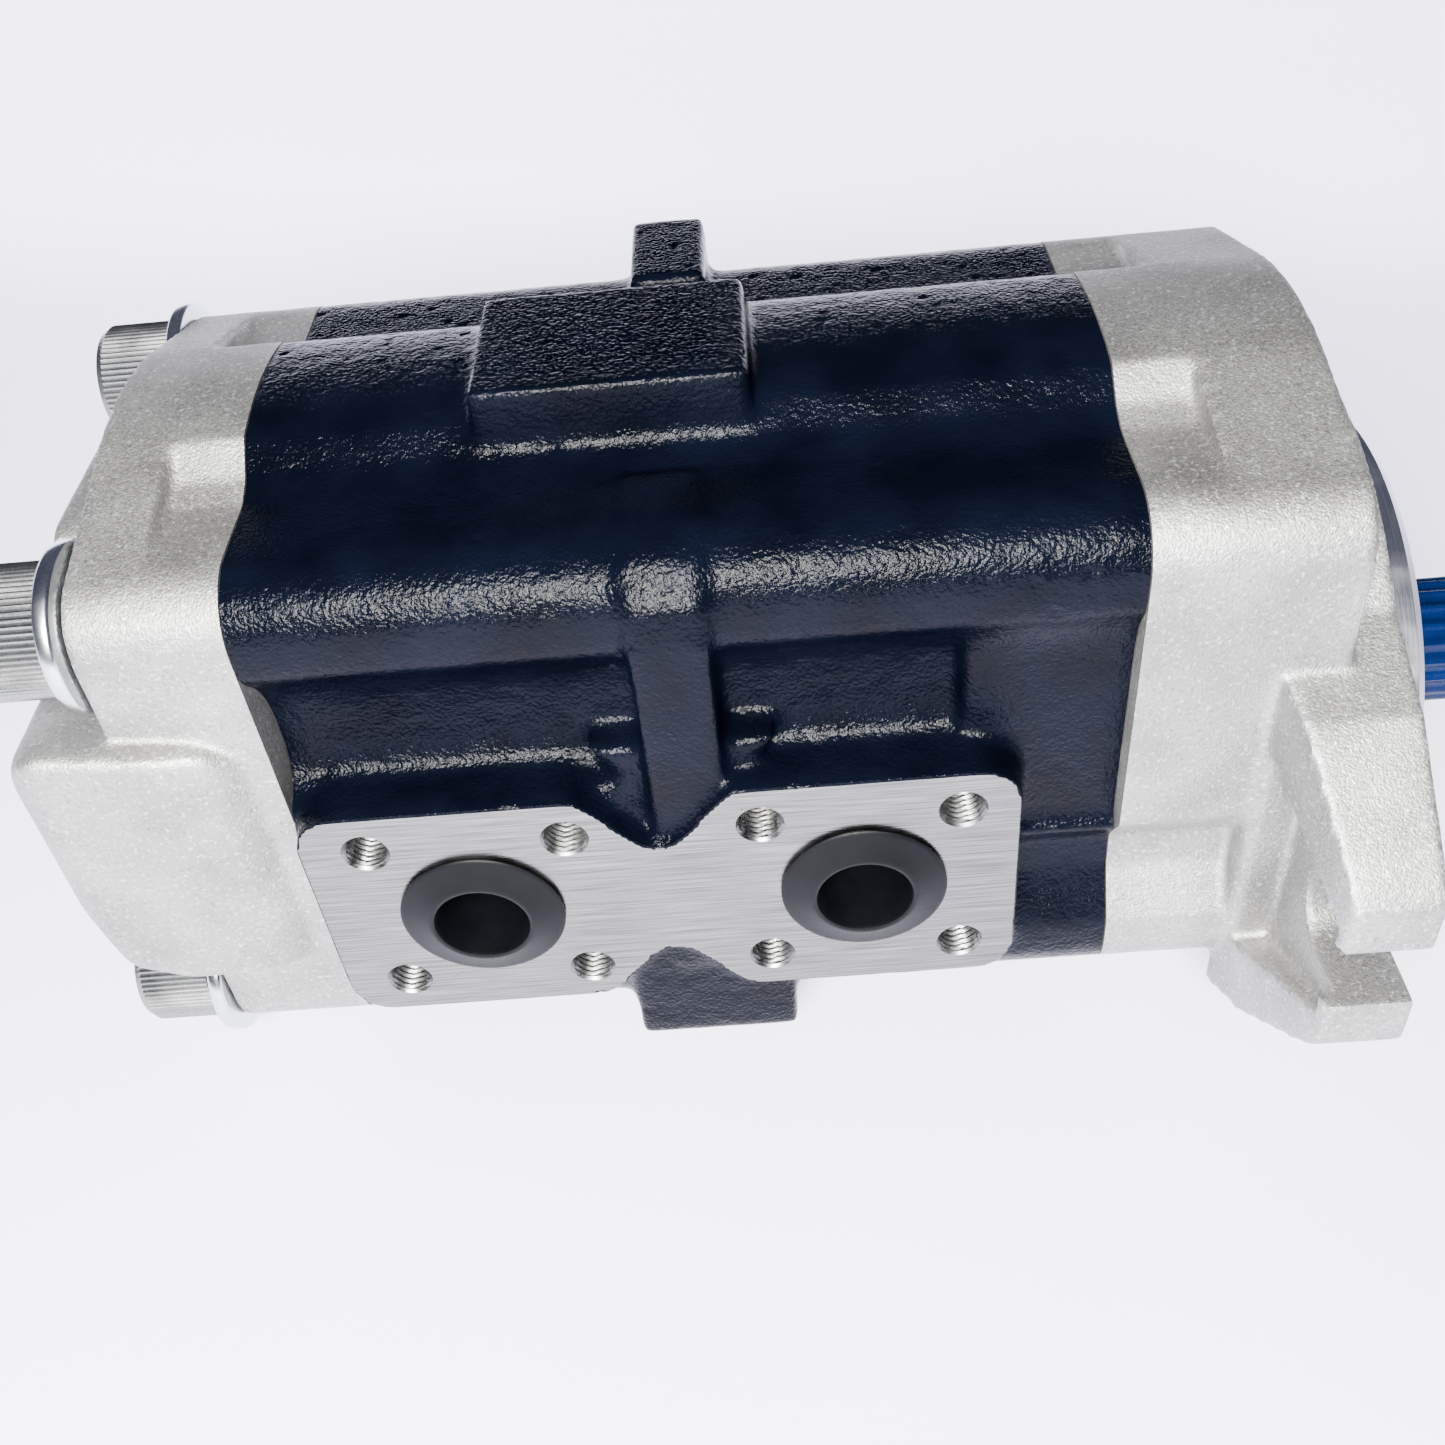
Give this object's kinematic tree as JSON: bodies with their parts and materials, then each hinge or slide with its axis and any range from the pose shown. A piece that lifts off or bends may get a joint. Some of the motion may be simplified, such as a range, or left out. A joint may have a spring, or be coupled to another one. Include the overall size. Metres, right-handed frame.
{
  "type": "hydraulic gear pump",
  "caption": "Tandem external gear pump: cast body with square flanged outlets on one side, end covers, a slotted flange with a round pilot, and a capped splined shaft.",
  "frame": {"origin": "Centre of the bounding box at its lowest level, which is the lowest edge of the flange disc.", "axes": "+X runs along the drive shaft and out of the flange, the outlets face -Y, and +Z goes from the drive shaft to the driven gears."},
  "size_m": [0.2854, 0.174, 0.154],
  "materials": {
    "body_paint": "glossy dark blue-black paint over cast iron, with a bare milled outlet face",
    "cast_aluminium": "blasted die casting with a machined pilot",
    "ground_steel": "ground",
    "bearing_alloy": "machined",
    "bush_bronze": "satin",
    "seal_rubber": "matte",
    "zinc_steel": "plated, with knurled heads",
    "bright_steel": "bright zinc plate",
    "black_plastic": "moulded, satin",
    "blue_plastic": "moulded, glossy"
  },
  "bodies": {
    "housing": {"pump_body": "body_paint", "front_cover": "cast_aluminium", "rear_cover": "cast_aluminium", "rear_bearing_block_back": "bearing_alloy", "rear_bearing_block_fore": "bearing_alloy", "front_bearing_block_back": "bearing_alloy", "front_bearing_block_fore": "bearing_alloy", "rear_block_seal_back": "seal_rubber", "rear_block_seal_fore": "seal_rubber", "front_block_seal_back": "seal_rubber", "front_block_seal_fore": "seal_rubber", "rear_drive_bush_back": "bush_bronze", "rear_drive_bush_fore": "bush_bronze", "rear_driven_bush_back": "bush_bronze", "rear_driven_bush_fore": "bush_bronze", "front_drive_bush_back": "bush_bronze", "front_drive_bush_fore": "bush_bronze", "front_driven_bush_back": "bush_bronze", "front_driven_bush_fore": "bush_bronze", "rear_cover_seal": "seal_rubber", "front_cover_seal": "seal_rubber", "shaft_seal": "seal_rubber", "seal_retaining_ring": "ground_steel", "cap_screw_upper_near": "zinc_steel", "cap_screw_lower_near": "zinc_steel", "cap_screw_upper_far": "zinc_steel", "cap_screw_lower_far": "zinc_steel", "washer_upper_near": "bright_steel", "washer_lower_near": "bright_steel", "washer_upper_far": "bright_steel", "washer_lower_far": "bright_steel", "dowel_rear_near": "ground_steel", "dowel_front_near": "ground_steel", "dowel_rear_far": "ground_steel", "dowel_front_far": "ground_steel"},
    "drive_line": {"front_drive_gear": "ground_steel", "rear_drive_gear": "ground_steel", "shaft_coupling": "ground_steel"},
    "front_driven_line": {"front_driven_gear": "ground_steel"},
    "rear_driven_line": {"rear_driven_gear": "ground_steel"},
    "rear_outlet_closure": {"outlet_plug_rear": "black_plastic"},
    "front_outlet_closure": {"outlet_plug_front": "black_plastic"},
    "inlet_closure": {"inlet_plug": "black_plastic"},
    "shaft_protector": {"shaft_cap": "blue_plastic"}
  },
  "joints": [
    {"name": "drive_spin", "type": "hinge", "parent": "housing", "child": "drive_line", "pos_m": [0, 0, 0.065], "axis": [1, 0, 0], "continuous": true},
    {"name": "front_driven_spin", "type": "hinge", "parent": "housing", "child": "front_driven_line", "pos_m": [0, 0, 0.1031], "axis": [1, 0, 0], "continuous": true},
    {"name": "rear_driven_spin", "type": "hinge", "parent": "housing", "child": "rear_driven_line", "pos_m": [0, 0, 0.1031], "axis": [1, 0, 0], "continuous": true},
    {"name": "rear_outlet_plug_pull", "type": "slide", "parent": "housing", "child": "rear_outlet_closure", "axis": [0, -1, 0], "range_m": [0, 0.03]},
    {"name": "front_outlet_plug_pull", "type": "slide", "parent": "housing", "child": "front_outlet_closure", "axis": [0, -1, 0], "range_m": [0, 0.03]},
    {"name": "inlet_plug_pull", "type": "slide", "parent": "housing", "child": "inlet_closure", "axis": [0, 1, 0], "range_m": [0, 0.03]},
    {"name": "shaft_cap_pull", "type": "slide", "parent": "drive_line", "child": "shaft_protector", "axis": [1, 0, 0], "range_m": [0, 0.04]}
  ],
  "couplings": [
    {"joint": "front_driven_spin", "follows": "drive_spin", "ratio": -1},
    {"joint": "rear_driven_spin", "follows": "drive_spin", "ratio": -1}
  ]
}
